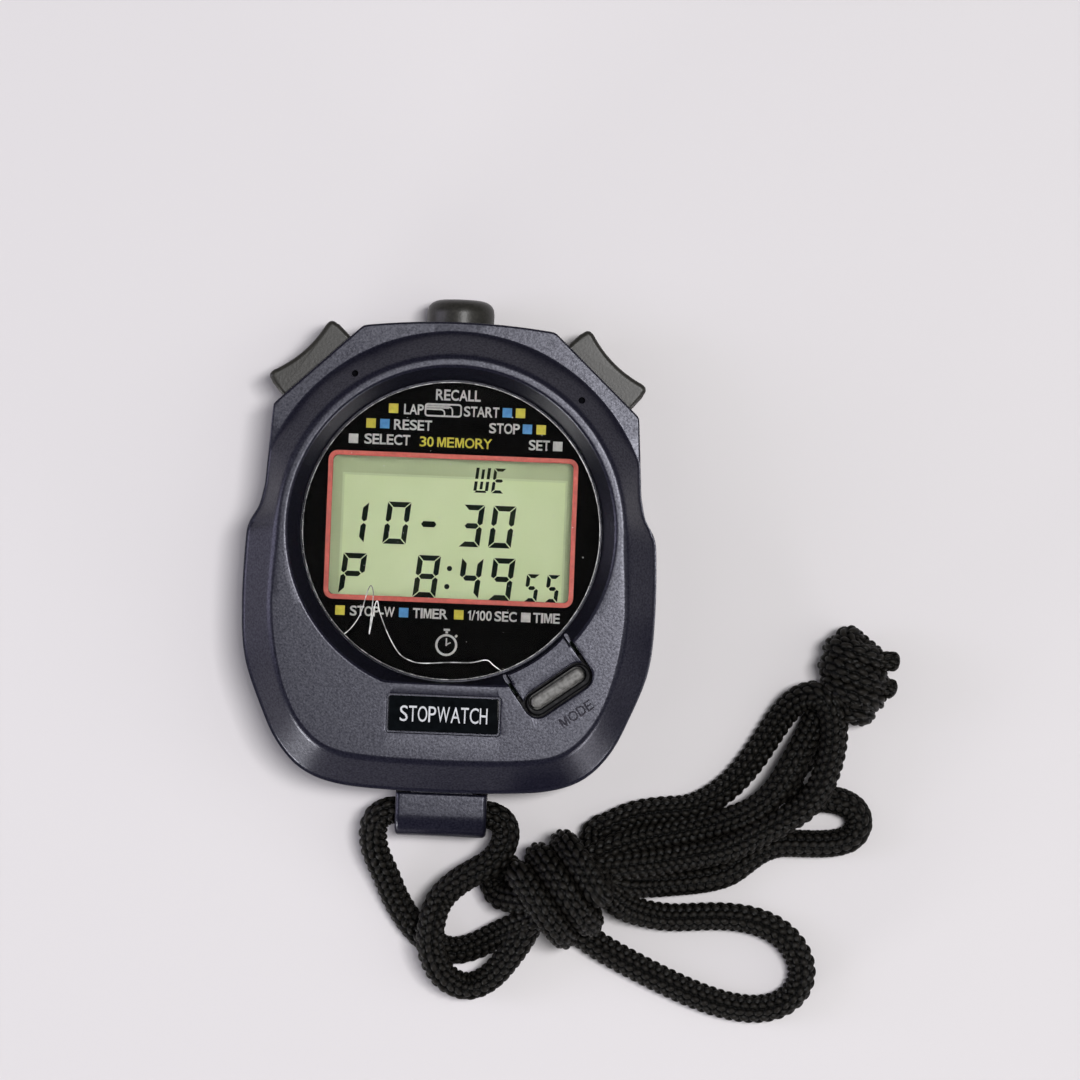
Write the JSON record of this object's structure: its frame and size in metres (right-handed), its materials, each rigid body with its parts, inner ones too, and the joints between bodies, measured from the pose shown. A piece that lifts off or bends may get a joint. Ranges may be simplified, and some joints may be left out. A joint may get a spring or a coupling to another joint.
{
  "type": "digital stopwatch",
  "caption": "Rounded hand-held digital stopwatch with a round dial window, push buttons round its top, a small mode key and a bundled neck cord through a bail.",
  "frame": {"origin": "middle of the watch without its cord, on the surface that it lies on", "axes": "+X to the right of the display, +Y towards the round top button, +Z out of the display"},
  "size_m": [0.1084, 0.1154, 0.0196],
  "materials": {
    "case": "dark blue-grey metallic lacquer, semi-gloss",
    "back": "fine matt black ABS",
    "lens": "clear acrylic window",
    "mask": "black printed sheet",
    "lcd": "grey-green reflective display glass",
    "white_plastic": "white moulded carrier",
    "rubber_strip": "striped conductive rubber",
    "board": "green lacquered laminate",
    "epoxy": "black epoxy",
    "steel": "bright stainless and spring steel",
    "brass": "plated brass sheet",
    "button": "satin black moulded plastic",
    "key": "satin grey moulded plastic",
    "plate": "glossy black with silver print",
    "cord": "black braided polyester"
  },
  "bodies": {
    "case": {"front_case": "case", "lanyard_bail": "case", "rear_cover": "back", "lens": "lens", "dial_mask": "mask", "lcd_panel": "lcd", "lcd_holder": "white_plastic", "zebra_strip_upper": "rubber_strip", "zebra_strip_lower": "rubber_strip", "circuit_board": "board", "controller_chip": "epoxy", "quartz_crystal": "steel", "battery": "steel", "battery_clip": "steel", "battery_contact": "brass", "piezo_disc": "brass", "piezo_spring": "steel", "name_plate": "plate", "mode_key_bezel": "button", "mode_spring": "steel", "mode_contact": "steel", "case_screw_1": "steel", "board_screw_1": "steel", "case_screw_2": "steel", "board_screw_2": "steel", "case_screw_3": "steel", "board_screw_3": "steel", "case_screw_4": "steel", "board_screw_4": "steel", "start_spring": "steel", "start_contact": "brass", "recall_spring": "steel", "recall_contact": "brass", "lap_spring": "steel", "lap_contact": "brass", "cord_right_lead": "cord", "cord_left_lead": "cord", "cord_lower_loop": "cord", "cord_small_loop": "cord", "cord_wrap": "cord", "cord_bundle": "cord", "cord_end_knot": "cord", "cord_tip_upper": "cord", "cord_tip_lower": "cord"},
    "start_button": {"start_button": "button", "start_clip": "steel"},
    "recall_button": {"recall_button": "button", "recall_clip": "steel"},
    "lap_button": {"lap_button": "button", "lap_clip": "steel"},
    "mode_key": {"mode_key": "key"}
  },
  "joints": [
    {"name": "start_button_press", "type": "slide", "parent": "case", "child": "start_button", "axis": [-0.6845, -0.729, 0], "range_m": [0, 0.0012], "stiffness_N_per_m": 900, "springref_m": -0.001, "deforming": ["start_spring", "start_contact"]},
    {"name": "recall_button_press", "type": "slide", "parent": "case", "child": "recall_button", "axis": [0, -1, 0], "range_m": [0, 0.0012], "stiffness_N_per_m": 900, "springref_m": -0.001, "deforming": ["recall_spring", "recall_contact"]},
    {"name": "lap_button_press", "type": "slide", "parent": "case", "child": "lap_button", "axis": [0.6845, -0.729, 0], "range_m": [0, 0.0012], "stiffness_N_per_m": 900, "springref_m": -0.001, "deforming": ["lap_spring", "lap_contact"]},
    {"name": "mode_key_press", "type": "slide", "parent": "case", "child": "mode_key", "axis": [0, 0, -1], "range_m": [0, 0.0006], "stiffness_N_per_m": 600, "springref_m": -0.0008, "deforming": ["mode_spring", "mode_contact"]}
  ]
}
